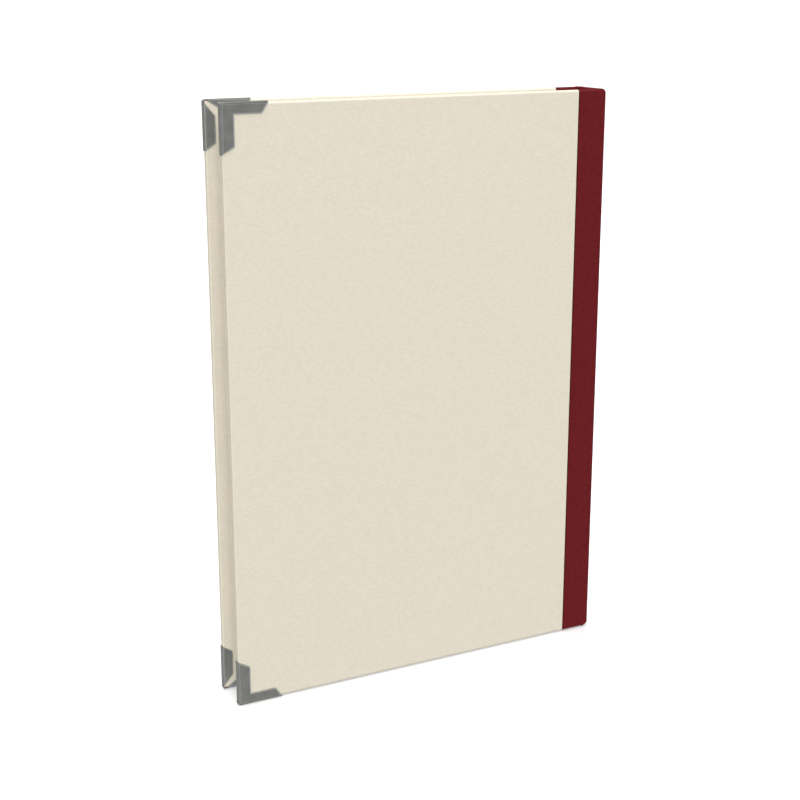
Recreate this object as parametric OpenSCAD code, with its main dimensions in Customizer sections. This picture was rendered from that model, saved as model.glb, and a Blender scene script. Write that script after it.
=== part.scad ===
// Coin album: a quarter-bound hard case with metal board corners and three
// rigid leaves that hold coins behind clear pull-out slides.
// The closed album stands on its tail. X runs from the fore edge to the spine,
// Y from the front cover to the back cover, and Z up from the surface it stands on.

/* [Case] */
// Height of the cloth-covered boards
case_h = 309; // [309:1:320]
// Width from the fore edge to the back of the spine, over the cloth
case_w = 219; // [219:1:230]
// Thickness of the closed case, over the cloth
case_t = 24.8; // [24.8:0.1:28]
// Thickness of each grey board
board_t = 2.4; // [2:0.1:2.4]
// Thickness of the book cloth
cloth_t = 0.3; // [0.2:0.05:0.3]
// Width of cream cloth on a cover, from the fore edge to the spine cloth
cream_w = 201.2; // [195:0.1:202]
// Width of cloth turned in round a board's edges
turn_in = 15; // [10:1:18]
// Margin between a board's edge and the endpaper, past the metal corners' flaps
endpaper_margin = 7; // [7:0.5:12]

/* [Metal corners] */
// Thickness of the sheet metal
metal_t = 0.5; // [0.3:0.05:0.6]
// Length of a corner's legs along the board's edges
corner_leg = 24.2; // [18:0.1:30]
// Length of the same legs along their inner edges
corner_leg_inner = 20.5; // [14:0.1:26]
// Width of a corner's arm down the fore edge, on the outer face
corner_arm = 6.4; // [5.2:0.1:6.6]
// Width of a corner's arm along the head or tail, and of its folded flaps
corner_flap = 5.2; // [4:0.1:5.2]
// Gap between the two folded flaps at the mitre
mitre_gap = 1.6; // [1:0.1:2.4]

/* [Leaves] */
// Thickness of a leaf's die-cut core
core_t = 2.6; // [2:0.1:2.6]
// Thickness of a facing card
facing_t = 0.4; // [0.3:0.05:0.4]
// Depth of the channel that a slide runs in
channel_t = 0.6; // [0.5:0.05:0.6]
// Thickness of a clear slide
slide_t = 0.4; // [0.3:0.05:0.4]
// Distance from one leaf's middle to the next
leaf_pitch = 6; // [6:0.1:6.2]
// Diameter of the coin holes in the core
coin_d = 34; // [20:1:36]
// Diameter of the windows in the facing cards
window_d = 32; // [18:1:34]

/* [Hidden] */
$fn = 64;
// How far cutting shapes reach past what they cut
over = 1;

// Case layers, from the outside in
spine_x = (case_w + metal_t) / 2;
fore_x = spine_x - case_w;
cream_x = fore_x + cream_w;
case_y = case_t / 2;
case_z0 = metal_t;
case_z1 = case_z0 + case_h;
spine_z1 = case_z1 + metal_t;
board_y = case_y - cloth_t;
turn_y = board_y - board_t;
infill_y = turn_y - cloth_t;
endpaper_t = 0.2;
endpaper_y = infill_y - endpaper_t;
endpaper_end = 1;
spine_in_x = spine_x - board_t - 2 * cloth_t;
hinge_gap = 0.8;
cover_x1 = spine_in_x - hinge_gap;
spine_round = 1.2;
tail_turn_in = 12;

// Metal corners: rounding of the tip, and how much further each flap's cut end
// runs along at its inner edge
corner_round = 1.2;
fore_flap_skew = 0.6;
head_flap_skew = 2.6;

// Leaves and their binding
leaf_inset = 8.25;
leaf_x0 = fore_x + leaf_inset;
hinge_inset = 18.75;
hinge_x = spine_in_x - hinge_inset;
hinge_set_back = 4;
leaf_x1 = hinge_x - hinge_set_back;
leaf_z0 = 7;
leaf_z1 = spine_z1 - leaf_z0;
mid_z = spine_z1 / 2;
hinge_cloth_t = 0.6;
hinge_cloth_in = 8;
hinge_cloth_gap = 0.4;
columns = 4;
rows = 6;
column_pitch = 44;
row_pitch = 48;
column_mid = (leaf_x0 + leaf_x1) / 2;
coins = [
    for (column = [0:columns - 1], row = [0:rows - 1])
        [column_mid + (column - (columns - 1) / 2) * column_pitch,
         mid_z + (row - (rows - 1) / 2) * row_pitch]
];

// Slides: each covers two rows of coins and leaves at the fore edge
slide_bands = ["bottom", "middle", "top"];
slide_pitch = 2 * row_pitch;
slide_h = 90.4;
slide_play = 0.3;
comb_end_w = 5;
notch_r = 9;
channel_y = core_t / 2;
facing_y = channel_y + channel_t;

// Guard block, clamped by three hidden post-and-screw pairs
guard_gap = 1.5;
guard_inset = 3.6;
guard_x0 = hinge_x + guard_gap;
guard_y = case_y - guard_inset;
post_inset = 10;
post_end = 45;
post_x = hinge_x + post_inset;
post_z = [post_end, mid_z, spine_z1 - post_end];
post_r = 2.5;
post_hole_r = 2.6;
head_r = 4.5;
head_hole_r = 4.6;
head_t = 1;
head_play = 0.05;
head_depth = head_t + head_play;
head_overlap = 0.5;
post_end_y = 7.3;
thread_r = 1.6;
thread_bore_r = 1.7;
thread_depth = 9;
screw_end_gap = 1;
slot_w = 1;
slot_depth = 0.5;

leaf_parts = ["core", "front_facing", "back_facing", "spacers", "hinge"];

// A block given by its low and high limits along each axis
module block(x, y, z) {
    translate([x[0], y[0], z[0]])
        cube([x[1] - x[0], y[1] - y[0], z[1] - z[0]]);
}

// An outline drawn in X and Z, given thickness from y0 to y1
module upright(y0, y1) {
    translate([0, y1, 0])
        rotate([90, 0, 0])
            linear_extrude(y1 - y0)
                children();
}

// The whole of a cover's or leaf's side, as drawn for the front or mirrored for the back
module on_side(side) {
    if (side == "front")
        children();
    else
        mirror([0, 1, 0])
            children();
}

// Spine

// Outline of the spine in X and Y with its two outer corners rounded
module spine_outline(inset) {
    half = case_y - inset;
    r = spine_round - inset;
    x1 = spine_x - inset;
    intersection() {
        translate([spine_in_x, -half])
            square([x1 - spine_in_x, 2 * half]);
        union() {
            translate([spine_in_x, -half])
                square([x1 - r - spine_in_x, 2 * half]);
            translate([spine_in_x, -half + r])
                square([x1 - spine_in_x, 2 * (half - r)]);
            for (y = [-half + r, half - r])
                translate([x1 - r, y])
                    circle(r);
        }
    }
}

module spine_board() {
    color("burlywood")
        difference() {
            translate([0, 0, cloth_t])
                linear_extrude(spine_z1 - 2 * cloth_t)
                    spine_outline(cloth_t);
            block([spine_in_x - over, spine_in_x + cloth_t], [-case_y, case_y], [0, spine_z1]);
        }
}

module spine_cloth() {
    color("darkred")
        difference() {
            linear_extrude(spine_z1)
                spine_outline(0);
            difference() {
                translate([0, 0, cloth_t])
                    linear_extrude(spine_z1 - 2 * cloth_t)
                        spine_outline(cloth_t);
                for (z = [0, spine_z1 - tail_turn_in])
                    block([spine_in_x - over, spine_in_x + cloth_t], [-case_y, case_y], [z, z + tail_turn_in]);
            }
        }
}

module spine_lining() {
    color("cornsilk")
        block([spine_in_x, spine_in_x + cloth_t], [-board_y, board_y], [tail_turn_in, spine_z1 - tail_turn_in]);
}

// Guard block that holds the leaves' hinges

module post_holes(r, y0, y1) {
    for (z = post_z)
        translate([post_x, y1, z])
            rotate([90, 0, 0])
                cylinder(h = y1 - y0, r = r);
}

module guard(y0, y1) {
    color("tan")
        difference() {
            block([guard_x0, spine_in_x], [y0, y1], [leaf_z0, leaf_z1]);
            post_holes(post_hole_r, y0 - over, y1 + over);
        }
}

// The outer guards also have a recess for each post's or screw's head
module outer_guard(side) {
    on_side(side)
        difference() {
            guard(-guard_y, -leaf_pitch - hinge_cloth_t / 2);
            post_holes(head_hole_r, -guard_y - over, -guard_y + head_depth);
        }
}

module inner_guard(side) {
    on_side(side)
        guard(-leaf_pitch + hinge_cloth_t / 2, -hinge_cloth_t / 2);
}

module binding_posts() {
    head_y = -guard_y + head_depth;
    color("silver")
        difference() {
            union() {
                post_holes(post_r, head_y - head_overlap, post_end_y);
                post_holes(head_r, head_y - head_t, head_y);
            }
            post_holes(thread_bore_r, post_end_y - thread_depth, post_end_y + over);
        }
}

module binding_screws() {
    head_y = guard_y - head_depth;
    color("silver")
        difference() {
            union() {
                post_holes(thread_r, post_end_y - thread_depth + screw_end_gap, head_y + head_overlap);
                post_holes(head_r, head_y, head_y + head_t);
            }
            for (z = post_z)
                block([post_x - slot_w / 2, post_x + slot_w / 2],
                      [head_y + head_t - slot_depth, head_y + head_t + over],
                      [z - head_r - over, z + head_r + over]);
        }
}

function leaf_y(k) = (k - 2) * leaf_pitch;

// The part of a leaf's hinge cloth that is clamped between the guards
module leaf_stub(k) {
    y = leaf_y(k);
    color("ivory")
        difference() {
            block([hinge_x + hinge_cloth_gap, spine_in_x],
                  [y - hinge_cloth_t / 2, y + hinge_cloth_t / 2], [leaf_z0, leaf_z1]);
            post_holes(post_hole_r, y - over, y + over);
        }
}

// Covers, drawn for the front cover

module board(side) {
    color("burlywood")
        on_side(side)
            block([fore_x + cloth_t, cover_x1], [-board_y, -turn_y], [case_z0 + cloth_t, case_z1 - cloth_t]);
}

// Cloth over a board's face and edges and turned in behind it, from x0 to x1
module board_wrap(x0, x1) {
    difference() {
        block([x0, x1], [-case_y, -infill_y], [case_z0, case_z1]);
        block([fore_x + cloth_t, spine_x], [-board_y, -turn_y], [case_z0 + cloth_t, case_z1 - cloth_t]);
        block([fore_x + turn_in, spine_x], [-board_y, -infill_y + over], [case_z0 + turn_in, case_z1 - turn_in]);
    }
}

module cover_cloth(side) {
    color("beige")
        on_side(side)
            board_wrap(fore_x, cream_x);
}

module spine_strip(side) {
    color("darkred")
        on_side(side)
            board_wrap(cream_x, cover_x1);
}

// Card that fills the level inside the turned-in cloth
module infill(side) {
    color("burlywood")
        on_side(side)
            block([fore_x + turn_in, cover_x1], [-turn_y, -infill_y], [case_z0 + turn_in, case_z1 - turn_in]);
}

module endpaper(side) {
    color("cornsilk")
        on_side(side)
            block([fore_x + endpaper_margin, cover_x1 - endpaper_end], [-infill_y, -endpaper_y],
                  [case_z0 + endpaper_margin, case_z1 - endpaper_margin]);
}

// Metal corners, drawn with the board's corner at the origin, along the head and
// down the fore edge

// The square region around the corner, less the rounding at its tip
module corner_tip(size) {
    m = metal_t;
    translate([-m + corner_round, -m])
        square([size - corner_round, size]);
    translate([-m, -m + corner_round])
        square([size, size - corner_round]);
    translate([-m + corner_round, -m + corner_round])
        circle(corner_round);
}

// Straight strip along each edge, which becomes the corner's two walls
module wall_outline() {
    m = metal_t;
    difference() {
        union() {
            corner_tip(corner_arm);
            translate([0, -m])
                square([corner_leg, m + over]);
            translate([-m, 0])
                square([m + over, corner_leg]);
        }
        square(corner_leg + over);
    }
}

// Outer plate: an L with slanted leg ends
module plate_outline() {
    wall_outline();
    polygon([
        [0, 0], [corner_leg, 0], [corner_leg_inner, corner_flap],
        [corner_arm, corner_flap], [corner_arm, corner_leg_inner], [0, corner_leg]
    ]);
}

// The flap down the fore edge, folded over the board's inner face, with a slanted
// end and a cut end
module flap_outline(skew) {
    m = metal_t;
    polygon([
        [-m, mitre_gap - m], [corner_flap, corner_flap + mitre_gap + skew],
        [corner_flap, corner_leg_inner], [0, corner_leg], [-m, corner_leg]
    ]);
}

module metal_corner(side, end) {
    z = end == "top" ? case_z1 : case_z0;
    color("gray")
        on_side(side)
            translate([fore_x, 0, z])
                mirror([0, 0, end == "top" ? 1 : 0]) {
                    upright(-case_y - metal_t, -case_y)
                        plate_outline();
                    upright(-case_y - metal_t, -infill_y + metal_t)
                        wall_outline();
                    upright(-infill_y, -infill_y + metal_t) {
                        flap_outline(fore_flap_skew);
                        mirror([1, -1])
                            flap_outline(head_flap_skew);
                    }
                }
}

// Leaves

module leaf_core(k) {
    y = leaf_y(k);
    color("lightsteelblue")
        difference() {
            block([leaf_x0, leaf_x1], [y - core_t / 2, y + core_t / 2], [leaf_z0, leaf_z1]);
            upright(y - core_t, y + core_t)
                for (coin = coins)
                    translate(coin)
                        circle(d = coin_d);
            block([leaf_x1 - hinge_cloth_in, leaf_x1 + over],
                  [y - hinge_cloth_t / 2, y + hinge_cloth_t / 2], [leaf_z0 - over, leaf_z1 + over]);
        }
}

// Card with a window over each coin and a thumb notch over each slide
module leaf_facing(k, side) {
    color("royalblue")
        translate([0, leaf_y(k), 0])
            on_side(side)
                difference() {
                    block([leaf_x0, leaf_x1], [-facing_y - facing_t, -facing_y], [leaf_z0, leaf_z1]);
                    upright(-facing_y - 2 * facing_t, -facing_y + facing_t) {
                        for (coin = coins)
                            translate(coin)
                                circle(d = window_d);
                        for (band = [-1, 0, 1])
                            translate([leaf_x0, mid_z + band * slide_pitch])
                                circle(notch_r);
                    }
                }
}

// Two comb-shaped spacers, front and back, whose teeth part the slides
module leaf_spacers(k) {
    channel_h = slide_h + 2 * slide_play;
    color("lightsteelblue")
        translate([0, leaf_y(k), 0])
            for (side = ["front", "back"])
                on_side(side)
                    difference() {
                        block([leaf_x0, leaf_x1], [-facing_y, -channel_y], [leaf_z0, leaf_z1]);
                        for (band = [-1, 0, 1])
                            block([leaf_x0 - over, leaf_x1 - comb_end_w], [-facing_y - over, -channel_y + over],
                                  [mid_z + band * slide_pitch - channel_h / 2,
                                   mid_z + band * slide_pitch + channel_h / 2]);
                    }
}

module leaf_hinge(k) {
    y = leaf_y(k);
    color("ivory")
        block([leaf_x1 - hinge_cloth_in, hinge_x - hinge_cloth_gap],
              [y - hinge_cloth_t / 2, y + hinge_cloth_t / 2], [leaf_z0, leaf_z1]);
}

module leaf_slide(k, side, band) {
    y = channel_y + (channel_t - slide_t) / 2;
    z = mid_z + (search([band], slide_bands)[0] - 1) * slide_pitch;
    color("lightcyan", 0.4)
        translate([0, leaf_y(k), 0])
            on_side(side)
                block([leaf_x0, leaf_x1 - comb_end_w - slide_play], [-y - slide_t, -y],
                      [z - slide_h / 2, z + slide_h / 2]);
}

spine_board();
spine_cloth();
spine_lining();
outer_guard("front");  // front_guard
inner_guard("front");  // front_inner_guard
inner_guard("back");  // back_inner_guard
outer_guard("back");  // back_guard
binding_posts();
binding_screws();

for (side = ["front", "back"]) {
    board(side);
    cover_cloth(side);
    spine_strip(side);
    infill(side);
    endpaper(side);
    metal_corner(side, "top");
    metal_corner(side, "bottom");
}

for (k = [1:3]) {
    leaf_stub(k);
    leaf_core(k);
    leaf_facing(k, "front");
    leaf_facing(k, "back");
    leaf_spacers(k);
    leaf_hinge(k);
    for (side = ["front", "back"], band = slide_bands)
        leaf_slide(k, side, band);
}
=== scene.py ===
import math

import bmesh
import bpy
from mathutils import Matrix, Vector


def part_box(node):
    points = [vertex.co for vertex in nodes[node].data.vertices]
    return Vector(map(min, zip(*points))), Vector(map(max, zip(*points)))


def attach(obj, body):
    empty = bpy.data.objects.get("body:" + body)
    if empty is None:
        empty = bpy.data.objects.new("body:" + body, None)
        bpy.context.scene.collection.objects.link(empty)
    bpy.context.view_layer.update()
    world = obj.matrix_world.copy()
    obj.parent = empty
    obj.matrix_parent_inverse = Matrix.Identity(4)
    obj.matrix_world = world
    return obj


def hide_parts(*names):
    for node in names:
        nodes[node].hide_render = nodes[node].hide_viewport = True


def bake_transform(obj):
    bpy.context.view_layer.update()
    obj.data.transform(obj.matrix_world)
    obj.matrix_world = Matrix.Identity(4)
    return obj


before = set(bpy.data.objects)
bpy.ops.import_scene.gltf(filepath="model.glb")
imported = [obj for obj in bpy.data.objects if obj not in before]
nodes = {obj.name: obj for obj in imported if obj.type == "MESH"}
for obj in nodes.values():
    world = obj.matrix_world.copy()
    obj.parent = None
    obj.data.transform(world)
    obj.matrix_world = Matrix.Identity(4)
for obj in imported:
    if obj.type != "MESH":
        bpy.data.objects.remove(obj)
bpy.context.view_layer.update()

MM = 0.001
SIDES = {"front": -1, "back": 1}
LEAVES = (1, 2, 3)
BANDS = ("bottom", "middle", "top")

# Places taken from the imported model, in metres

cover_low, cover_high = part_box("back_cloth")
spine_low, spine_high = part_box("spine_cloth")
CASE_Y = cover_high.y
INNER_Y = cover_low.y
FORE_X = cover_low.x
CREAM_X = cover_high.x
JOINT_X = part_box("back_spine_strip")[1].x
SPINE_IN_X = spine_low.x
SPINE_OUT_X = spine_high.x
BOARD_Z = (cover_low.z, cover_high.z)
SPINE_Z = (spine_low.z, spine_high.z)

# Sizes of the case cloth

CLOTH = 0.3 * MM
CUT_EDGE = 0.12 * MM
SPINE_CUT_EDGE = 0.1 * MM
TURN_IN = 15 * MM
SPINE_TURN_IN = 12 * MM
FORE_ROUND = 0.65 * MM
HEAD_ROUND = 1.2 * MM
SPINE_HEAD_ROUND = 2.4 * MM
SPINE_CORNER_ROUND = 1.2 * MM
INNER_ROUND = 0.9 * MM
# The share of the CAD spine's extra height that the cloth's head and tail stand proud by
SPINE_STEP = 0.3
BOARD_ROUND = 0.5 * MM
BOARD_CLEAR = 0.1 * MM
LINING = 0.15 * MM
LINING_CUT_EDGE = 0.05 * MM
LINING_INSET = 9 * MM
# Where the spine cloth is cut into columns, in millimetres: X on the strip, Y on the spine
STRIP_COLUMNS = (92.6, 96.0, 100.0, 104.4)
SPINE_COLUMNS = (8.0, 5.5, 3.0, 1.0)

# Sizes of a metal corner, in millimetres

METAL = 0.5
LEG = 24.2
LEG_INNER = 20.5
FORE_ARM = 6.4
FLAP = 5.2
MITRE = 1.6
FORE_SKEW = 0.6
HEAD_SKEW = 2.6
RIM = 0.9
FOLD_BAND = 1.7
FOLD_ROUND = 1.05
PRESSED_IN = 0.22
PLATE_RADII = (0, 0, 1.5, 0.35, 1.5, 0)
FLAP_RADII = (0, 1.3, 0.5, 0)

# Sizes of the leaves' hinges and details

SELVEDGE = 0.12 * MM
GUARD_CLEAR = 0.1 * MM
LEAF_CLEAR = 0.2 * MM
LEAF_HOLD = 2 * MM
GUARD_HOLD = 3 * MM
BEND_STEPS = 14
LAID_PITCH = 1.1 * MM
COLUMNS, COLUMN_PITCH = 4, 44 * MM
ROWS, ROW_PITCH = 6, 48 * MM
RIM_RADIUS = 16.9 * MM
RIM_WIDTH = 1.5 * MM
RIM_HEIGHT = 0.22 * MM
RING_STEPS, RIM_STEPS = 72, 10
GRIP_RIDGES = 5
GRIP_START = 1.2 * MM
GRIP_PITCH = 1.1 * MM
GRIP_SIZE = (0.7 * MM, 0.16 * MM, 12 * MM)
BEAD_STEPS, BEAD_RINGS = 12, 10

# Angles past which an edge is shaded sharp, in degrees

SHARP = 38
CLOTH_SHARP = 46
METAL_SHARP = 50
FLOOR_SHARP = 80

# Angles past which an edge is rounded, in radians, and the steps in a rounded corner

EDGE_ANGLE = math.radians(60)
FOLD_ANGLE = 1.2
ARC_STEPS = 5
JOINT_STEPS = 8
EDGE_STEPS = 2
BOARD_STEPS = 3
MERGE = 1e-6

# Mesh helpers


def add_object(name, mesh, *materials):
    """A new object at the origin, in the scene."""
    obj = bpy.data.objects.new(name, mesh)
    bpy.context.scene.collection.objects.link(obj)
    for material in materials:
        mesh.materials.append(material)
    return obj


def face_outwards(bm, direction):
    """Turns every face over if the largest one facing along direction is inside out."""
    direction = Vector(direction)
    bm.normal_update()
    widest = max(bm.faces, key=lambda f: f.calc_area() * abs(f.normal.dot(direction)))
    if widest.normal.dot(direction) < 0:
        bmesh.ops.reverse_faces(bm, faces=bm.faces)


def mark_sharp(bm, sharp):
    """Marks each edge sharp where the shape turns by more than sharp degrees."""
    for edge in bm.edges:
        edge.smooth = not edge.is_manifold or edge.calc_face_angle(0) < math.radians(sharp)


def folds_of(bm):
    """The edges where the shape turns a corner."""
    return [e for e in bm.edges if e.is_manifold and e.calc_face_angle(0) > FOLD_ANGLE]


def skin(bm, grid, closed=False):
    """Faces between the rows of points in grid; closed joins each row's last point to its first."""
    for a, b in zip(grid, grid[1:]):
        for i in range(len(a) if closed else len(a) - 1):
            j = (i + 1) % len(a)
            bm.faces.new((a[i], a[j], b[j], b[i]))


def mesh_from(bm, name, sharp=SHARP):
    """The finished mesh, shaded smooth except at its sharp edges."""
    bm.normal_update()
    for face in bm.faces:
        face.smooth = True
    mark_sharp(bm, sharp)
    mesh = bpy.data.meshes.new(name)
    bm.to_mesh(mesh)
    bm.free()
    return mesh


def made_mesh(obj):
    """The object's mesh with its modifiers applied, and the modifiers taken off."""
    graph = bpy.context.evaluated_depsgraph_get()
    made = bpy.data.meshes.new_from_object(obj.evaluated_get(graph))
    obj.modifiers.clear()
    obj.data = made
    return made


def settle(obj):
    """Turns the object's modifiers into its mesh, and shades its flat faces flat."""
    made = made_mesh(obj)
    bm = bmesh.new()
    bm.from_mesh(made)
    mark_sharp(bm, SHARP)
    bm.to_mesh(made)
    bm.free()
    flat = obj.modifiers.new("flat_faces", "WEIGHTED_NORMAL")
    flat.keep_sharp = True
    made_mesh(obj)


def thicken(obj, thickness, rim):
    """Gives a sheet its thickness, grown inwards, and rounds its cut edges."""
    solid = obj.modifiers.new("thickness", "SOLIDIFY")
    solid.thickness = thickness
    solid.offset = -1
    solid.use_even_offset = True
    edge = obj.modifiers.new("cut_edge", "BEVEL")
    edge.width = rim
    edge.segments = EDGE_STEPS
    edge.limit_method = "ANGLE"
    edge.angle_limit = EDGE_ANGLE
    settle(obj)


def keep_rest_place(obj):
    """Stores where each point lies at rest, so that a pattern stays put when the piece bends."""
    mesh = obj.data
    place = mesh.attributes.new("rest_place", "FLOAT_VECTOR", "POINT")
    flat = [c for v in mesh.vertices for c in v.co]
    place.data.foreach_set("vector", flat)


def evenly(start, end, count):
    """Numbers from start to end in count even steps, with both ends."""
    return [start + (end - start) * i / count for i in range(count + 1)]


def rounded_outline(points, radii):
    """The closed outline through points, each turned into an arc of its own radius."""
    made = []
    count = len(points)
    for i, (point, radius) in enumerate(zip(points, radii)):
        here = Vector(point)
        if radius <= 0:
            made.append(here)
            continue
        before = (Vector(points[i - 1]) - here).normalized()
        after = (Vector(points[(i + 1) % count]) - here).normalized()
        half = before.angle(after) / 2
        reach = radius / math.tan(half)
        middle = here + (before + after).normalized() * (radius / math.sin(half))
        start = here + before * reach - middle
        end = here + after * reach - middle
        turn = start.angle(end)
        for t in evenly(0.0, 1.0, ARC_STEPS):
            way = (start * math.sin((1 - t) * turn) + end * math.sin(t * turn)) / math.sin(turn)
            made.append(middle + way)
    return made


# Finishes


class Finish:
    """A material with a principled surface, and short ways to add patterns to it."""

    def __init__(self, name, roughness=0.6, metallic=0.0, rest=False):
        self.material = bpy.data.materials.new(name)
        self.material.use_nodes = True
        self.tree = self.material.node_tree
        self.tree.nodes.clear()
        self.surface = self.add("ShaderNodeBsdfPrincipled")
        self.surface.inputs["Roughness"].default_value = roughness
        self.surface.inputs["Metallic"].default_value = metallic
        out = self.add("ShaderNodeOutputMaterial")
        self.join(self.surface.outputs[0], out.inputs["Surface"])
        if rest:
            place = self.add("ShaderNodeAttribute")
            place.attribute_name = "rest_place"
            self.place = place.outputs["Vector"]
        else:
            self.place = self.add("ShaderNodeTexCoord").outputs["Object"]

    def add(self, kind):
        """A new node."""
        return self.tree.nodes.new(kind)

    def join(self, source, target):
        """A link from one socket to another."""
        self.tree.links.new(source, target)

    def feed(self, target, value):
        """Sets a socket, from another socket or a plain value."""
        if isinstance(value, bpy.types.NodeSocket):
            self.join(value, target)
        else:
            target.default_value = value

    def maths(self, operation, a, b=0.0, c=0.0):
        """One sum on up to three values."""
        node = self.add("ShaderNodeMath")
        node.operation = operation
        for socket, value in zip(node.inputs, (a, b, c)):
            self.feed(socket, value)
        return node.outputs[0]

    def mixed(self, *parts):
        """The sum of (value, share) pairs."""
        total = None
        for value, share in parts:
            part = self.maths("MULTIPLY", value, share)
            total = self.maths("ADD", total, part) if total else part
        return total

    def spread(self, scale, offset=(0, 0, 0)):
        """The surface's coordinates scaled along each axis."""
        node = self.add("ShaderNodeMapping")
        node.inputs["Scale"].default_value = scale
        node.inputs["Location"].default_value = offset
        self.join(self.place, node.inputs["Vector"])
        return node.outputs[0]

    def noise(self, scale, detail=3.0, offset=(0, 0, 0), distortion=0.0):
        """Noise from 0 to 1; scale is features per metre along each axis."""
        node = self.add("ShaderNodeTexNoise")
        self.join(self.spread(scale, offset), node.inputs["Vector"])
        node.inputs["Scale"].default_value = 1.0
        node.inputs["Detail"].default_value = detail
        node.inputs["Roughness"].default_value = 0.55
        node.inputs["Distortion"].default_value = distortion
        return node.outputs[0]

    def span(self, value, low, high, to_low, to_high):
        """Value from low..high, eased into to_low..to_high."""
        node = self.add("ShaderNodeMapRange")
        node.interpolation_type = "SMOOTHSTEP"
        ends = {"From Min": low, "From Max": high, "To Min": to_low, "To Max": to_high}
        for name, number in ends.items():
            node.inputs[name].default_value = number
        self.join(value, node.inputs["Value"])
        return node.outputs[0]

    def blend(self, share, a, b):
        """Colour a where share is 0 and b where it is 1."""
        node = self.add("ShaderNodeMix")
        node.data_type = "RGBA"
        self.feed(node.inputs["Factor"], share)
        self.feed(node.inputs[6], a)
        self.feed(node.inputs[7], b)
        return node.outputs[2]

    def axes(self):
        """The surface's X, Y and Z."""
        node = self.add("ShaderNodeSeparateXYZ")
        self.join(self.place, node.inputs[0])
        return node.outputs

    def weave(self, pitch, wander):
        """Height of crossing threads, for cloth that faces any of the three axes."""
        k = 2 * math.pi / pitch
        sway = self.maths("MULTIPLY", self.maths("SUBTRACT", wander, 0.5), THREAD_SWAY)
        turns = [self.maths("MULTIPLY_ADD", axis, k, sway) for axis in self.axes()]
        waves = [self.maths("SINE", turn) for turn in turns]
        xz = self.maths("MULTIPLY", waves[0], waves[2])
        yz = self.maths("MULTIPLY", waves[1], waves[2])
        xy = self.maths("MULTIPLY", waves[0], waves[1])
        return self.maths("ADD", self.maths("ADD", xz, yz), xy)

    def colour(self, value):
        """Sets the base colour."""
        self.feed(self.surface.inputs["Base Color"], value)

    def rough(self, value):
        """Sets the roughness."""
        self.feed(self.surface.inputs["Roughness"], value)

    def relief(self, *layers):
        """Bumps; each layer is (height, depth in metres, strength)."""
        normal = None
        for height, depth, strength in layers:
            node = self.add("ShaderNodeBump")
            node.inputs["Distance"].default_value = depth
            node.inputs["Strength"].default_value = strength
            self.join(height, node.inputs["Height"])
            if normal:
                self.join(normal, node.inputs["Normal"])
            normal = node.outputs[0]
        self.join(normal, self.surface.inputs["Normal"])


def rgb(r, g, b):
    """A colour with full cover."""
    return (r, g, b, 1.0)


def book_cloth(name, light, dark, pitch, sheen, rest=False, edge=None):
    """Starched book cloth: crossing threads, short slubs and a faint mottle.
    With edge, a painted shade line darkens the cloth beside a cut at X, fading out from low to
    high."""
    f = Finish(name, roughness=0.78, rest=rest)
    slub = f.noise((340, 340, 1150), detail=2.5, distortion=0.3)
    warp = f.noise((1000, 1000, 320), detail=2.0, offset=(3, 1, 7))
    mottle = f.noise((760, 760, 760), detail=3.0, offset=(9, 4, 2))
    cloud = f.noise((9, 9, 9), detail=2.0, offset=(1, 8, 5))
    threads = f.weave(pitch, f.noise((500, 500, 500), detail=1.0, offset=(5, 5, 5)))
    grain = f.mixed((slub, 0.5), (warp, 0.2), (mottle, 0.3))
    tone = f.mixed((f.span(grain, 0.4, 0.6, 0.0, 1.0), 0.88), (cloud, 0.12), (threads, 0.05))
    shade = f.blend(tone, rgb(*dark), rgb(*light))
    # painted shade: a thin dark line beside the cut at X, standing in for the shade at the step
    # beside the cream cloth
    if edge:
        low, high, tint = edge
        shade = f.blend(f.span(f.axes()[0], low, high, 0.0, 1.0), rgb(*tint), shade)
    f.colour(shade)
    f.rough(f.span(grain, 0.3, 0.7, 0.74, 0.86))
    f.surface.inputs["Sheen Weight"].default_value = sheen
    f.surface.inputs["Sheen Roughness"].default_value = 0.5
    f.surface.inputs["Specular IOR Level"].default_value = 0.1
    f.relief((grain, 0.16 * MM, 0.35), (threads, 0.03 * MM, 0.35))
    return f.material


def pressed_board(name, light, dark):
    """Pulp board: short fibres and specks."""
    f = Finish(name, roughness=0.9)
    fibre = f.noise((900, 260, 2600), detail=4.0, distortion=0.6)
    speck = f.noise((2400, 2400, 2400), detail=2.0, offset=(2, 6, 1))
    cloud = f.noise((60, 60, 60), detail=3.0, offset=(7, 3, 3))
    tone = f.mixed((fibre, 0.6), (cloud, 0.4))
    shade = f.blend(f.span(tone, 0.35, 0.65, 0.0, 1.0), rgb(*dark), rgb(*light))
    f.colour(f.blend(f.span(speck, 0.66, 0.72, 0.0, 0.5), shade, rgb(*(c * 0.55 for c in dark))))
    f.rough(f.span(fibre, 0.3, 0.7, 0.84, 0.95))
    f.relief((fibre, 0.08 * MM, 0.4), (speck, 0.03 * MM, 0.3))
    return f.material


def lining_paper(name, light, dark):
    """Smooth laid paper with faint lines and a little cloudiness."""
    f = Finish(name, roughness=0.82)
    cloud = f.noise((45, 45, 45), detail=4.0)
    tooth = f.noise((1800, 1800, 1800), detail=2.0, offset=(4, 4, 9))
    lines = f.maths("SINE", f.maths("MULTIPLY", f.axes()[2], 2 * math.pi / LAID_PITCH))
    tone = f.mixed((cloud, 0.8), (tooth, 0.2))
    f.colour(f.blend(f.span(tone, 0.3, 0.7, 0.0, 1.0), rgb(*dark), rgb(*light)))
    f.rough(f.span(tooth, 0.3, 0.7, 0.76, 0.88))
    f.relief((tooth, 0.03 * MM, 0.35), (lines, 0.008 * MM, 0.3))
    return f.material


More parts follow.
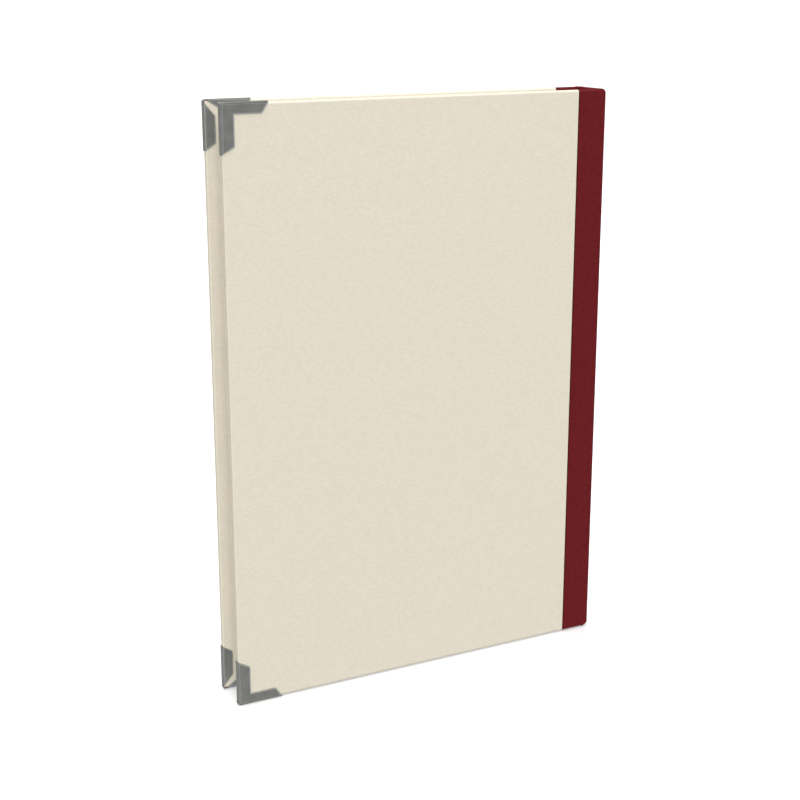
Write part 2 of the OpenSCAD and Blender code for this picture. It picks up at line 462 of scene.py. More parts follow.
def embossed_card(name, light, dark):
    """Dyed card with a fine leather-like emboss."""
    f = Finish(name, roughness=0.55)
    cells = f.add("ShaderNodeTexVoronoi")
    cells.feature = "SMOOTH_F1"
    cells.inputs["Scale"].default_value = 1.0
    cells.inputs["Smoothness"].default_value = 0.6
    f.join(f.spread((1300, 1300, 1300)), cells.inputs["Vector"])
    cloud = f.noise((70, 70, 70), detail=4.0)
    rub = f.noise((260, 260, 260), detail=5.0, offset=(1, 2, 3))
    height = f.span(cells.outputs["Distance"], 0.1, 0.75, 0.0, 1.0)
    tone = f.mixed((cloud, 0.6), (height, 0.4))
    f.colour(f.blend(f.span(tone, 0.25, 0.75, 0.0, 1.0), rgb(*dark), rgb(*light)))
    f.rough(f.span(rub, 0.35, 0.65, 0.45, 0.62))
    f.relief((height, 0.05 * MM, 0.4), (rub, 0.02 * MM, 0.25))
    return f.material


def satin_metal(name, light, dark, roughness, metallic, rims=None):
    """Plated sheet: a fine brushed grain, hairline scratches and a few dull patches.
    With rims, a corner's folded flaps get painted light and its raised rims a painted highlight,
    both in that colour."""
    f = Finish(name, roughness=roughness, metallic=metallic)
    f.surface.inputs["Specular Tint"].default_value = rgb(*(c * 1.3 for c in light))
    grain = f.noise((5000, 5000, 320), detail=3.0)
    hair = f.noise((260, 260, 5200), detail=2.0, offset=(6, 2, 8), distortion=0.4)
    patch = f.noise((140, 140, 140), detail=4.0, offset=(3, 9, 1))
    tone = f.mixed((grain, 0.35), (patch, 0.65))
    shade = f.blend(f.span(tone, 0.3, 0.7, 0.0, 1.0), rgb(*dark), rgb(*light))
    # painted light and painted highlight: the flaps inside the covers are lifted towards the rims
    # colour, and the raised rims on plate and flaps are brightened further
    if rims:
        out = f.maths("ABSOLUTE", f.axes()[1])
        low, high = METAL * MM - 0.2 * MM, METAL * MM - 0.04 * MM
        # painted light on the flaps, which sit in the shaded gap between the covers
        flap = f.span(out, INNER_Y - (METAL - PRESSED_IN) * MM, INNER_Y, 1.0, 0.0)
        shade = f.blend(f.maths("MULTIPLY", flap, 0.35), shade, rgb(*rims))
        # painted highlight on the raised rims of the plate and of the flaps
        face_rim_painted_highlight = f.span(out, CASE_Y + low, CASE_Y + high, 0.0, 1.0)
        flap_rim_painted_highlight = f.span(out, INNER_Y - high, INNER_Y - low, 1.0, 0.0)
        rim = f.maths("MAXIMUM", face_rim_painted_highlight, flap_rim_painted_highlight)
        shade = f.blend(f.maths("MULTIPLY", rim, 0.85), shade, rgb(*rims))
    f.colour(shade)
    base = f.span(patch, 0.35, 0.7, roughness - 0.05, roughness + 0.07)
    f.rough(f.maths("ADD", base, f.span(hair, 0.62, 0.7, 0.0, 0.03)))
    scratch = f.span(hair, 0.64, 0.7, 1.0, 0.0)
    f.relief((grain, 0.004 * MM, 0.35), (scratch, 0.003 * MM, 0.15))
    return f.material


def clear_plastic(name, tint):
    """Clear sheet with a light haze and fine rubbing marks."""
    f = Finish(name, roughness=0.08)
    haze = f.noise((35, 35, 35), detail=3.0)
    marks = f.noise((90, 3000, 3000), detail=3.0, offset=(2, 2, 5), distortion=0.5)
    f.colour(f.blend(haze, rgb(*tint), rgb(0.98, 0.99, 1.0)))
    rubbed = f.span(marks, 0.62, 0.72, 0.0, 0.12)
    f.rough(f.maths("ADD", f.span(haze, 0.3, 0.7, 0.04, 0.1), rubbed))
    f.surface.inputs["Transmission Weight"].default_value = 0.96
    f.surface.inputs["IOR"].default_value = 1.35
    f.relief((marks, 0.004 * MM, 0.2))
    return f.material


CREAM_LIGHT = (0.81, 0.749, 0.622)
CREAM_DARK = (0.762, 0.7, 0.574)
BURGUNDY_LIGHT = (0.156, 0.0112, 0.0142)
BURGUNDY_DARK = (0.112, 0.0075, 0.0102)
# colour of the painted shade line on the burgundy beside the cream cloth
BURGUNDY_PAINTED_SHADE = (0.05, 0.004, 0.007)
CORNER_LIGHT = (0.2, 0.202, 0.191)
CORNER_DARK = (0.145, 0.147, 0.138)
# colour of the painted highlight on the corners' rims and of the painted light on their flaps
CORNER_PAINTED_HIGHLIGHT = (0.4, 0.405, 0.39)
NICKEL_LIGHT = (0.64, 0.63, 0.6)
NICKEL_DARK = (0.54, 0.53, 0.5)
HINGE_LIGHT = (0.74, 0.7, 0.6)
HINGE_DARK = (0.64, 0.6, 0.5)
THREAD_SWAY = 2.2
THREAD_PITCH = 0.62 * MM
FINE_PITCH = 0.55 * MM
COARSE_PITCH = 0.8 * MM
# where the painted shade line on the burgundy strip is full, where it fades out, and its colour
STRIP_PAINTED_SHADE = (CREAM_X + 0.3 * MM, CREAM_X + 1.1 * MM, BURGUNDY_PAINTED_SHADE)


def all_finishes():
    """Every finish on the album, by name."""
    made = {}

    def keep(make, name, *values, **more):
        """Makes one finish and keeps it under its own name."""
        made[name] = make(name, *values, **more)

    keep(book_cloth, "cream_cloth", CREAM_LIGHT, CREAM_DARK, THREAD_PITCH, 0.0)
    keep(
        book_cloth,
        "burgundy_cloth",
        BURGUNDY_LIGHT,
        BURGUNDY_DARK,
        THREAD_PITCH,
        0.01,
        rest=True,
        # painted shade line beside the cream cloth
        edge=STRIP_PAINTED_SHADE,
    )
    keep(book_cloth, "hinge_cloth", HINGE_LIGHT, HINGE_DARK, COARSE_PITCH, 0.1, rest=True)
    keep(book_cloth, "joint_lining", CREAM_LIGHT, CREAM_DARK, FINE_PITCH, 0.05, rest=True)
    keep(pressed_board, "grey_board", (0.45, 0.41, 0.35), (0.34, 0.3, 0.25))
    keep(pressed_board, "leaf_core_board", (0.74, 0.71, 0.64), (0.66, 0.63, 0.56))
    keep(lining_paper, "endpaper", (0.84, 0.79, 0.68), (0.77, 0.72, 0.61))
    # corner_metal carries a painted highlight on its rims and painted light on its flaps
    keep(satin_metal, "corner_metal", CORNER_LIGHT, CORNER_DARK, 0.34, 0.42, rims=CORNER_PAINTED_HIGHLIGHT)
    keep(satin_metal, "nickel_screw", NICKEL_LIGHT, NICKEL_DARK, 0.24, 1.0)
    keep(embossed_card, "facing_card", (0.05, 0.11, 0.235), (0.035, 0.08, 0.18))
    keep(embossed_card, "window_rim", (0.06, 0.13, 0.27), (0.045, 0.1, 0.21))
    keep(clear_plastic, "clear_slide", (0.94, 0.965, 0.98))
    keep(clear_plastic, "slide_grip", (0.9, 0.94, 0.96))
    return made


finish = all_finishes()

# Cream cloth over each cover's board


def cover_cloth(side):
    """Cloth over the face, fore edge, head and tail of a board, turned in with mitred corners."""
    sign = SIDES[side]
    z0, z1 = BOARD_Z
    bm = bmesh.new()

    def point(x, depth, z):
        """A point so deep behind the case's face."""
        return bm.verts.new((x, sign * (CASE_Y - depth), z))

    depth = CASE_Y - INNER_Y
    corners = ((FORE_X, z0), (FORE_X, z1), (CREAM_X, z1), (CREAM_X, z0))
    face = [point(x, 0, z) for x, z in corners]
    back = [point(x, depth, z) for x, z in corners]
    hem = [
        point(x, depth, z)
        for x, z in (
            (FORE_X + TURN_IN, z0 + TURN_IN),
            (FORE_X + TURN_IN, z1 - TURN_IN),
            (CREAM_X, z1 - TURN_IN),
            (CREAM_X, z0 + TURN_IN),
        )
    ]
    bm.faces.new(face)
    for a, b in ((1, 0), (2, 1), (0, 3)):
        bm.faces.new((face[a], face[b], back[b], back[a]))
        bm.faces.new((back[a], back[b], hem[b], hem[a]))
    bmesh.ops.recalc_face_normals(bm, faces=bm.faces)
    face_outwards(bm, (0, sign, 0))
    round_share = bm.edges.layers.float.new("bevel_weight_edge")
    for fold in folds_of(bm):
        along_fore_edge = all(abs(v.co.x - FORE_X) < FORE_ROUND for v in fold.verts)
        fold[round_share] = FORE_ROUND / HEAD_ROUND if along_fore_edge else 1.0
    name = f"{side}_cover_cloth"
    obj = add_object(name, mesh_from(bm, name), finish["cream_cloth"])
    folds = obj.modifiers.new("folds", "BEVEL")
    folds.limit_method = "WEIGHT"
    folds.width = HEAD_ROUND
    folds.segments = ARC_STEPS
    thicken(obj, CLOTH, CUT_EDGE)
    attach(obj, f"{side}_cover")
    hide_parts(f"{side}_cloth")


# Burgundy cloth: a strip on the cover, the joint and half of the spine, in one length


def spine_columns():
    """Outline of the spine cloth seen from the head, in millimetres, from the cover's strip to
    the middle of the spine. Each entry is the outer point, the turned-in point behind it, and
    its share of the way from cover to spine."""
    face, inner = CASE_Y / MM, INNER_Y / MM
    joint, spine, outer_x = JOINT_X / MM, SPINE_IN_X / MM, SPINE_OUT_X / MM
    double = face - 2 * CLOTH / MM
    on_cover = (CREAM_X / MM, *STRIP_COLUMNS)
    made = [((x, face), (x, inner), 0.0) for x in on_cover]
    made += [
        ((joint - 0.75, face), (joint - 0.2, inner), 0.0),
        ((joint - 0.45, face), (joint - 0.02, inner + 0.25), 0.0),
        ((joint - 0.2, face), (joint + 0.02, inner + 1.2), 0.0),
        ((joint - 0.06, face), (joint + 0.03, double - 0.1), 0.0),
    ]
    for t in evenly(0.0, 1.0, JOINT_STEPS):
        x = joint + 0.04 + (spine - joint - 0.08) * t
        made.append(((x, face), (x, double), t))
    made += [
        ((spine + 0.06, face), (spine - 0.03, double - 0.1), 1.0),
        ((spine + 0.2, face), (spine - 0.02, inner + 1.2), 1.0),
        ((spine + 0.5, face), (spine, inner + 0.25), 1.0),
        ((spine + 0.8, face), (spine, inner - 0.3), 1.0),
    ]
    radius = SPINE_CORNER_ROUND / MM
    for t in evenly(0.0, 1.0, JOINT_STEPS):
        turn = math.radians(90 - 90 * t)
        x = outer_x - radius + radius * math.cos(turn)
        y = face - radius + radius * math.sin(turn)
        made.append(((x, y), (spine, inner - 0.5 - 2.8 * t), 1.0))
    made += [((outer_x, y), (spine, y * 0.72), 1.0) for y in SPINE_COLUMNS]
    made.append(((outer_x, 0.0), (spine, 0.0), 1.0))
    return made


def fold_over(outer, inner, low, high, turn_in, outer_round):
    """One column of cloth: from the inside, over the head, down the outside and up inside again."""
    outer, inner = Vector(outer), Vector(inner)
    reach = (inner - outer).length
    into = (inner - outer).normalized()
    r_out = min(outer_round, 0.6 * reach)
    r_in = min(INNER_ROUND / MM, 0.35 * reach)
    quarter = [math.radians(a) for a in evenly(0, 90, ARC_STEPS)]
    head = [(reach, high - turn_in), (reach, high - r_in)]
    for a in quarter[1:]:
        head.append((reach - r_in * (1 - math.cos(a)), high - r_in * (1 - math.sin(a))))
    for a in quarter:
        head.append((r_out * (1 - math.sin(a)), high - r_out * (1 - math.cos(a))))
    tail = [(d, low + high - z) for d, z in reversed(head)]
    return [(outer + into * d, z) for d, z in head + [(0.0, (low + high) / 2)] + tail]


def spine_cloth(side):
    """Cloth from the strip on a cover, over the joint, to the middle of the spine."""
    sign = SIDES[side]
    bm = bmesh.new()
    grid = []
    for outer, inner, t in spine_columns():
        low = (BOARD_Z[0] + (SPINE_Z[0] - BOARD_Z[0]) * SPINE_STEP * t) / MM
        high = (BOARD_Z[1] + (SPINE_Z[1] - BOARD_Z[1]) * SPINE_STEP * t) / MM
        turn_in = (TURN_IN + (SPINE_TURN_IN - TURN_IN) * t) / MM
        round_out = (HEAD_ROUND + (SPINE_HEAD_ROUND - HEAD_ROUND) * t) / MM
        column = fold_over(outer, inner, low, high, turn_in, round_out)
        grid.append([bm.verts.new((p.x * MM, sign * p.y * MM, z * MM)) for p, z in column])
    skin(bm, grid)
    face_outwards(bm, (0, sign, 0))
    name = f"{side}_spine_cloth"
    obj = add_object(name, mesh_from(bm, name, CLOTH_SHARP), finish["burgundy_cloth"])
    thicken(obj, CLOTH, SPINE_CUT_EDGE)
    keep_rest_place(obj)
    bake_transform(obj)
    covered = [f"{side}_spine_strip"]
    if side == "front":
        covered.append("spine_cloth")
    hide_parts(*covered)


def spine_board():
    """The board inside the spine, eased at its edges and a little shorter than its cloth."""
    trim = (1 - SPINE_STEP) * (SPINE_Z[1] - BOARD_Z[1]) + BOARD_CLEAR
    bm = bmesh.new()
    bm.from_mesh(nodes["spine_board"].data)
    bmesh.ops.remove_doubles(bm, verts=bm.verts, dist=MERGE)
    for v in bm.verts:
        v.co.z += trim if v.co.z < sum(SPINE_Z) / 2 else -trim
    bmesh.ops.bevel(
        bm,
        geom=folds_of(bm),
        offset=SPINE_CORNER_ROUND,
        segments=BOARD_STEPS,
        profile=0.5,
        affect="EDGES",
    )
    name = "spine_board_core"
    obj = add_object(name, mesh_from(bm, name), finish["grey_board"])
    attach(obj, "spine")
    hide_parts("spine_board")


def joint_lining(side):
    """Lining folded into the groove between the cover and the spine."""
    sign = SIDES[side]
    joint, spine, inner = JOINT_X / MM, SPINE_IN_X / MM, INNER_Y / MM
    near, far, floor = joint + 0.2, spine - 0.2, CASE_Y / MM - 1.0
    path = [
        (joint - 1.0, inner - 0.2),
        (joint - 0.2, inner - 0.2),
        (joint + 0.08, inner - 0.1),
        (near, inner + 0.15),
        (near, inner + 1.2),
        (near, floor),
    ]
    centre, half = (near + far) / 2, (far - near) / 2
    for t in evenly(1.0, 0.0, JOINT_STEPS)[1:-1]:
        path.append((centre + half * math.cos(math.pi * t), floor + 0.2 * math.sin(math.pi * t)))
    path += [(far, floor), (far, inner + 1.2), (far, inner - 0.5)]
    bm = bmesh.new()
    rows = [BOARD_Z[0] + LINING_INSET, sum(BOARD_Z) / 2, BOARD_Z[1] - LINING_INSET]
    skin(bm, [[bm.verts.new((x * MM, sign * y * MM, z)) for z in rows] for x, y in path])
    face_outwards(bm, (1, 0, 0))
    bm.faces.ensure_lookup_table()
    if bm.faces[0].normal.y * sign > 0:
        bmesh.ops.reverse_faces(bm, faces=bm.faces)
    name = f"{side}_joint_lining"
    obj = add_object(name, mesh_from(bm, name), finish["joint_lining"])
    thicken(obj, LINING, LINING_CUT_EDGE)
    keep_rest_place(obj)
    y = sign * CASE_Y
    start, end = ((far - 0.02) * MM, y, 0), ((near + 0.02) * MM, y, 0)
    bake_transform(obj)
    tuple(start)
    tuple(end)


# Metal corners, drawn along the head (a), down the fore edge (b) and in from the face (u)


def inset_outline(points, widths):
    """The closed outline through points, with each side moved to its left by its own width."""
    moved = []
    for i, point in enumerate(points):
        here = Vector(point)
        before = (here - Vector(points[i - 1])).normalized()
        after = (Vector(points[(i + 1) % len(points)]) - here).normalized()
        a, b = Vector((-before.y, before.x)), Vector((-after.y, after.x))
        w_a, w_b = widths[i - 1], widths[i]
        cross = a.x * b.y - a.y * b.x
        shift = ((w_a * b.y - w_b * a.y) / cross, (a.x * w_b - b.x * w_a) / cross)
        moved.append(here + Vector(shift))
    return moved


def pressed_face(bm, place, outline, radii, widths, level, depth):
    """A face at level, its middle pressed in by depth inside a sloping rim of these widths."""
    rim = rounded_outline(outline, radii)
    middle = rounded_outline(inset_outline(outline, widths), [0.8 * r for r in radii])
    outer = [place(p.x, p.y, level) for p in rim]
    inner = [place(p.x, p.y, level + depth) for p in middle]
    bm.faces.new(inner)
    for i in range(len(outer)):
        j = (i + 1) % len(outer)
        bm.faces.new((outer[i], outer[j], inner[j], inner[i]))


def metal_corner(side, end):
    """A folded corner: a plate, two walls and two flaps, with pressed faces and a rounded tip."""
    sign = SIDES[side]
    z_at, z_way = (BOARD_Z[1], -1) if end == "top" else (BOARD_Z[0], 1)
    bm = bmesh.new()
    made = {}

    def place(a, b, u):
        """The point there, made the first time it is asked for."""
        key = (round(a, 5), round(b, 5), round(u, 5))
        if key not in made:
            at = (FORE_X + a * MM, sign * (CASE_Y - u * MM), z_at + z_way * b * MM)
            made[key] = bm.verts.new(at)
        return made[key]

    def place_swapped(a, b, u):
        """The point with head and fore edge changed over."""
        return place(b, a, u)

    m = METAL
    inside = (CASE_Y - INNER_Y) / MM + m
    tip = place(-m, -m, -m)
    tip_inside = place(-m, -m, inside)
    head_arm = [(-m, -m), (LEG, -m), (LEG_INNER, FLAP)]
    fore_arm = [(FORE_ARM, FLAP), (FORE_ARM, LEG_INNER), (-m, LEG)]
    widths = [FOLD_BAND, RIM, RIM, RIM, RIM, FOLD_BAND]
    pressed_face(bm, place, head_arm + fore_arm, PLATE_RADII, widths, -m, PRESSED_IN)
    cut = (MITRE - m, -m)
    widths = [RIM, RIM, RIM, FOLD_BAND]
    for at, skew in ((place, HEAD_SKEW), (place_swapped, FORE_SKEW)):
        flap = [(LEG, -m), (LEG_INNER, FLAP), (FLAP + MITRE + skew, FLAP), cut]
        pressed_face(bm, at, flap, FLAP_RADII, widths, inside, -PRESSED_IN)
        bm.faces.new([tip, at(LEG, -m, -m), at(LEG, -m, inside), at(*cut, inside), tip_inside])
    bmesh.ops.recalc_face_normals(bm, faces=bm.faces)
    face_outwards(bm, (0, sign, 0))
    bmesh.ops.bevel(
        bm,
        geom=folds_of(bm),
        offset=FOLD_ROUND * MM,
        offset_type="OFFSET",
        segments=ARC_STEPS,
        profile=0.5,
        affect="EDGES",
    )
    name = f"{side}_{end}_metal_corner"
    obj = add_object(name, mesh_from(bm, name, METAL_SHARP), finish["corner_metal"])
    thicken(obj, METAL * MM, CUT_EDGE)
    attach(obj, f"{side}_cover")
    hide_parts(f"{side}_{end}_corner")


# Leaf hinges: cloth from inside each leaf to the guards, cut into narrow columns in between


def leaf_hinge(k):
    """Cloth glued inside a leaf at one end and held between the guards at the other."""
    low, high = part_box(f"leaf_{k}_hinge")
    held_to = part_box(f"leaf_{k}_stub")[1].x
    leaf_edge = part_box(f"leaf_{k}_core")[1].x
    guard_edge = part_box("front_guard")[0].x
    bend_from, bend_to = guard_edge - GUARD_CLEAR, leaf_edge + LEAF_CLEAR
    columns = [low.x, leaf_edge - LEAF_HOLD]
    columns += evenly(bend_to, bend_from, BEND_STEPS)
    columns += [guard_edge + GUARD_HOLD, held_to]
    section = [(low.y, low.z), (high.y, low.z), (high.y, high.z), (low.y, high.z)]
    bm = bmesh.new()
    grid = [[bm.verts.new((x, y, z)) for y, z in section] for x in columns]
    skin(bm, grid, closed=True)
    bm.faces.new(grid[0])
    bm.faces.new(grid[-1])
    bmesh.ops.recalc_face_normals(bm, faces=bm.faces)
    bmesh.ops.bevel(
        bm,
        geom=folds_of(bm),
        offset=SELVEDGE,
        segments=EDGE_STEPS,
        profile=0.5,
        affect="EDGES",
    )
    name = f"leaf_{k}_hinge_cloth"
    obj = add_object(name, mesh_from(bm, name), finish["hinge_cloth"])
    keep_rest_place(obj)
    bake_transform(obj)
    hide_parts(f"leaf_{k}_hinge", f"leaf_{k}_stub")


# Repeated details made with geometry nodes


def node_group(name, inputs):
    """A new geometry node tree with Places in, Geometry out, and these named inputs."""
    tree = bpy.data.node_groups.new(name, "GeometryNodeTree")
    sockets = {}
    new_socket = tree.interface.new_socket
    new_socket("Places", in_out="INPUT", socket_type="NodeSocketGeometry")
    for label, kind in inputs:
        sockets[label] = new_socket(label, in_out="INPUT", socket_type=kind).identifier
    new_socket("Geometry", in_out="OUTPUT", socket_type="NodeSocketGeometry")
    return tree, sockets


def finish_instances(tree, given, out, copies, material_label):
    """Makes the copies real, shades them smooth and gives them their material."""
    new, join = tree.nodes.new, tree.links.new
    real, smooth, paint = (
        new("GeometryNodeRealizeInstances"),
        new("GeometryNodeSetShadeSmooth"),
        new("GeometryNodeSetMaterial"),
    )
    join(copies.outputs["Instances"], real.inputs["Geometry"])
    join(real.outputs["Geometry"], smooth.inputs["Geometry"])
    join(smooth.outputs["Geometry"], paint.inputs["Geometry"])
    join(given.outputs[material_label], paint.inputs["Material"])
    join(paint.outputs["Geometry"], out.inputs["Geometry"])


def window_rim_tree():
    """A low rounded ring at each place, lying in X and Z."""
    tree, sockets = node_group(
        "window_rims",
        [
            ("Ring Radius", "NodeSocketFloat"),
            ("Rim Width", "NodeSocketFloat"),
            ("Rim Height", "NodeSocketFloat"),
            ("Rim Material", "NodeSocketMaterial"),
        ],
    )
    new, join = tree.nodes.new, tree.links.new
    given, out = new("NodeGroupInput"), new("NodeGroupOutput")
    ring, section = new("GeometryNodeCurvePrimitiveCircle"), new("GeometryNodeCurvePrimitiveCircle")
    ring.inputs["Resolution"].default_value = RING_STEPS
    section.inputs["Resolution"].default_value = RIM_STEPS
    join(given.outputs["Ring Radius"], ring.inputs["Radius"])
    half = new("ShaderNodeMath")
    half.operation = "MULTIPLY"
    half.inputs[1].default_value = 0.5
    join(given.outputs["Rim Width"], half.inputs[0])
    join(half.outputs[0], section.inputs["Radius"])
    tube = new("GeometryNodeCurveToMesh")
    join(ring.outputs["Curve"], tube.inputs["Curve"])
    join(section.outputs["Curve"], tube.inputs["Profile Curve"])
    ratio = new("ShaderNodeMath")
    ratio.operation = "DIVIDE"
    join(given.outputs["Rim Height"], ratio.inputs[0])
    join(half.outputs[0], ratio.inputs[1])
    squash = new("ShaderNodeCombineXYZ")
    squash.inputs[0].default_value = 1
    squash.inputs[1].default_value = 1
    join(ratio.outputs[0], squash.inputs[2])
    flatten, upright = new("GeometryNodeTransform"), new("GeometryNodeTransform")
    join(tube.outputs["Mesh"], flatten.inputs["Geometry"])
    join(squash.outputs[0], flatten.inputs["Scale"])
    join(flatten.outputs["Geometry"], upright.inputs["Geometry"])
    upright.inputs["Rotation"].default_value = (math.pi / 2, 0, 0)
    copies = new("GeometryNodeInstanceOnPoints")
    join(given.outputs["Places"], copies.inputs["Points"])
    join(upright.outputs["Geometry"], copies.inputs["Instance"])
    finish_instances(tree, given, out, copies, "Rim Material")
    return tree, sockets


def grip_ridge_tree():
    """A slim rounded ridge at each place, standing along Z."""
    tree, sockets = node_group(
        "grip_ridges",
        [
            ("Ridge Size", "NodeSocketVector"),
            ("Ridge Material", "NodeSocketMaterial"),
        ],
    )
    new, join = tree.nodes.new, tree.links.new
    given, out = new("NodeGroupInput"), new("NodeGroupOutput")
    bead = new("GeometryNodeMeshUVSphere")
    bead.inputs["Segments"].default_value = BEAD_STEPS
    bead.inputs["Rings"].default_value = BEAD_RINGS
    bead.inputs["Radius"].default_value = 0.5
    stretch = new("GeometryNodeTransform")
    join(bead.outputs["Mesh"], stretch.inputs["Geometry"])
    join(given.outputs["Ridge Size"], stretch.inputs["Scale"])
    copies = new("GeometryNodeInstanceOnPoints")
    join(given.outputs["Places"], copies.inputs["Points"])
    join(stretch.outputs["Geometry"], copies.inputs["Instance"])
    finish_instances(tree, given, out, copies, "Ridge Material")
    return tree, sockets


def made_with_nodes(name, places, tree, values):
    """A mesh made by running the tree over the points at places."""
    mesh = bpy.data.meshes.new(name)
    mesh.from_pydata(places, [], [])
    obj = add_object(name, mesh)
    modifier = obj.modifiers.new("details", "NODES")
    modifier.node_group = tree
    for identifier, value in values.items():
        modifier[identifier] = value
    made_mesh(obj)
    return obj


def spaced(middle, pitch, count):
    """Places pitch apart, centred on middle."""
    return [middle + (i - (count - 1) / 2) * pitch for i in range(count)]


def window_rims(k, side, rims, rim_in):
    """A raised rim round each window in a leaf's facing card."""
    low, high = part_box(f"leaf_{k}_{side}_facing")
    face_y = high.y if side == "back" else low.y
    across = spaced((low.x + high.x) / 2, COLUMN_PITCH, COLUMNS)
    upwards = spaced((low.z + high.z) / 2, ROW_PITCH, ROWS)
    places = [(x, face_y, z) for x in across for z in upwards]
    values = {
        rim_in["Ring Radius"]: RIM_RADIUS,
        rim_in["Rim Width"]: RIM_WIDTH,
        rim_in["Rim Height"]: RIM_HEIGHT,
        rim_in["Rim Material"]: finish["window_rim"],
    }
    obj = made_with_nodes(f"leaf_{k}_{side}_window_rims", places, rims, values)
    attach(obj, f"leaf_{k}")


def slide_grip(slide, side, ridges, ridge_in):
    """A few ridges to pull a slide by, near its fore edge."""
    low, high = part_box(slide)
    face_y = high.y if side == "back" else low.y
    middle_z = (low.z + high.z) / 2
    places = [
        (low.x + GRIP_START + GRIP_PITCH * i, face_y, middle_z) for i in range(GRIP_RIDGES)
    ]
    values = {
        ridge_in["Ridge Size"]: GRIP_SIZE,
        ridge_in["Ridge Material"]: finish["slide_grip"],
    }
    obj = made_with_nodes(f"{slide}_grip", places, ridges, values)
    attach(obj, slide)


def leaf_details():
    """The window rims and slide grips of every leaf."""
    rims, rim_in = window_rim_tree()
    ridges, ridge_in = grip_ridge_tree()
    for k in LEAVES:
        for side in SIDES:
            window_rims(k, side, rims, rim_in)
            for band in BANDS:
                slide_grip(f"leaf_{k}_{side}_slide_{band}", side, ridges, ridge_in)


# Finishes for the CAD pieces that are shown as they are


def finish_kept_pieces():
    """Gives each CAD piece that shows its own finish, and eases the edges of the boards."""
    kept = {
        "grey_board": ["front_board", "back_board", "front_infill", "back_infill"],
        "endpaper": ["spine_lining", "front_endpaper", "back_endpaper"],
        "nickel_screw": ["binding_posts", "binding_screws"],
        "leaf_core_board": ["front_guard", "front_inner_guard", "back_inner_guard", "back_guard"],
        "facing_card": [],
        "clear_slide": [],
    }
    for k in LEAVES:
        kept["leaf_core_board"] += [f"leaf_{k}_core", f"leaf_{k}_spacers"]
        for side in SIDES:
            kept["facing_card"].append(f"leaf_{k}_{side}_facing")
            kept["clear_slide"] += [f"leaf_{k}_{side}_slide_{band}" for band in BANDS]
    for name, members in kept.items():
        for member in members:
            mesh = nodes[member].data
            mesh.materials.clear()
            mesh.materials.append(finish[name])
    for member in ("front_board", "back_board"):
        joined = nodes[member].modifiers.new("joined", "WELD")
        joined.merge_threshold = MERGE
        edges = nodes[member].modifiers.new("eased_edges", "BEVEL")
        edges.width = BOARD_ROUND
        edges.segments = BOARD_STEPS
        edges.limit_method = "ANGLE"
        edges.angle_limit = EDGE_ANGLE


# Studio, in metres

FLOOR_RADIUS = 120
FLOOR_DROP = 0.2 * MM
FLOOR_TONE = (0.92, 0.92, 0.92)
# How far from the album the floor's glow starts and stops growing, and its strength there
GLOW_FROM, GLOW_TO = 0.3, 1.6
GLOW_NEAR, GLOW_FAR = 0.15, 0.5
SKY_TONE = (0.98, 0.99, 1.0)
SKY_STRENGTH = 0.4
OVERHEAD_PLACE = (-0.05, 0.05, 2.2)
OVERHEAD_WIDTH = 1.6
OVERHEAD_POWER = 34
ALBUM_MIDDLE = (0, 0, 0.155)
SOFT_ANGLE = math.radians(36)
KEY_STRENGTH, KEY_WAY = 2.06, (0.43, 0.83, -0.42)
BACK_STRENGTH, BACK_WAY = 0.9, (0.0, -0.85, -0.4)
CAMERA_PLACE = (-0.36380, -0.67775, 0.36264)
CAMERA_TILT = math.radians(90 - 15.547)
CAMERA_TURN = math.radians(-27.688)
CAMERA_LENS = 67.07
CAMERA_SENSOR = 36


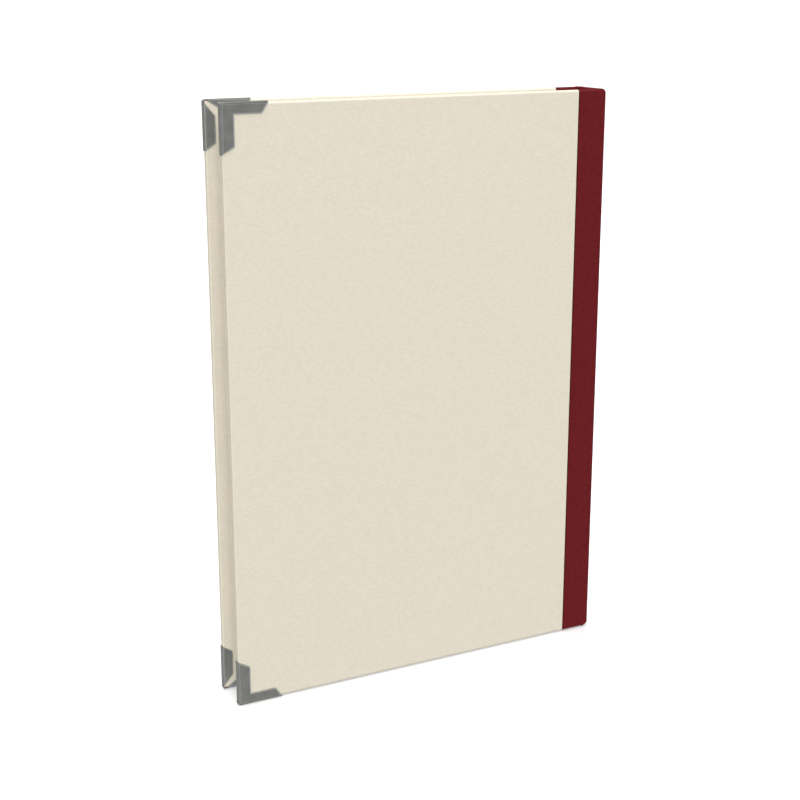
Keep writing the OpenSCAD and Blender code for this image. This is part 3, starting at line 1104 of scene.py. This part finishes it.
def studio_floor():
    """A wide pale floor, lit a little from within away from the album so that it stays clean."""
    f = Finish("studio_floor", roughness=0.9)
    f.colour(rgb(*FLOOR_TONE))
    reach = f.add("ShaderNodeVectorMath")
    reach.operation = "LENGTH"
    f.join(f.place, reach.inputs[0])
    glow = f.span(reach.outputs["Value"], GLOW_FROM, GLOW_TO, GLOW_NEAR, GLOW_FAR)
    f.surface.inputs["Emission Color"].default_value = rgb(1.0, 1.0, 1.0)
    f.feed(f.surface.inputs["Emission Strength"], glow)
    bm = bmesh.new()
    bmesh.ops.create_circle(bm, cap_ends=True, radius=FLOOR_RADIUS, segments=64)
    bmesh.ops.translate(bm, verts=bm.verts, vec=(0, 0, -FLOOR_DROP))
    floor = add_object("studio_floor", mesh_from(bm, "studio_floor", FLOOR_SHARP), f.material)
    floor.visible_diffuse = False


def hang_light(name, light, place, way):
    """Puts a light in the scene at place, shining along way."""
    obj = bpy.data.objects.new(name, light)
    bpy.context.scene.collection.objects.link(obj)
    obj.location = place
    obj.rotation_euler = Vector(way).to_track_quat("-Z", "Y").to_euler()


def overhead_light():
    """A square soft light above the album."""
    light = bpy.data.lights.new("overhead_light", "AREA")
    light.shape = "RECTANGLE"
    light.size = light.size_y = OVERHEAD_WIDTH
    light.energy = OVERHEAD_POWER
    way = Vector(ALBUM_MIDDLE) - Vector(OVERHEAD_PLACE)
    hang_light("overhead_light", light, OVERHEAD_PLACE, way)


def distant_light(name, strength, way):
    """A large soft light far off, shining along way."""
    light = bpy.data.lights.new(name, "SUN")
    light.energy = strength
    light.angle = SOFT_ANGLE
    hang_light(name, light, (0, 0, 0), way)


def studio_camera():
    """The camera that sees the album from the front left and a little above."""
    lens = bpy.data.cameras.new("camera")
    lens.lens = CAMERA_LENS
    lens.sensor_width = CAMERA_SENSOR
    camera = bpy.data.objects.new("camera", lens)
    bpy.context.scene.collection.objects.link(camera)
    camera.location = CAMERA_PLACE
    camera.rotation_euler = (CAMERA_TILT, 0, CAMERA_TURN)
    bpy.context.scene.camera = camera


def studio():
    """The sky, lights, floor and camera."""
    scene = bpy.context.scene
    scene.world = bpy.data.worlds.new("studio_sky")
    scene.world.use_nodes = True
    sky = scene.world.node_tree.nodes["Background"]
    sky.inputs["Color"].default_value = rgb(*SKY_TONE)
    sky.inputs["Strength"].default_value = SKY_STRENGTH
    overhead_light()
    distant_light("key_light", KEY_STRENGTH, KEY_WAY)
    distant_light("back_light", BACK_STRENGTH, BACK_WAY)
    studio_floor()
    studio_camera()
    scene.view_settings.view_transform = "Standard"
    scene.view_settings.look = "None"


for side in SIDES:
    cover_cloth(side)
    spine_cloth(side)
    joint_lining(side)
    for end in ("top", "bottom"):
        metal_corner(side, end)
spine_board()
for k in LEAVES:
    leaf_hinge(k)
leaf_details()
finish_kept_pieces()
studio()
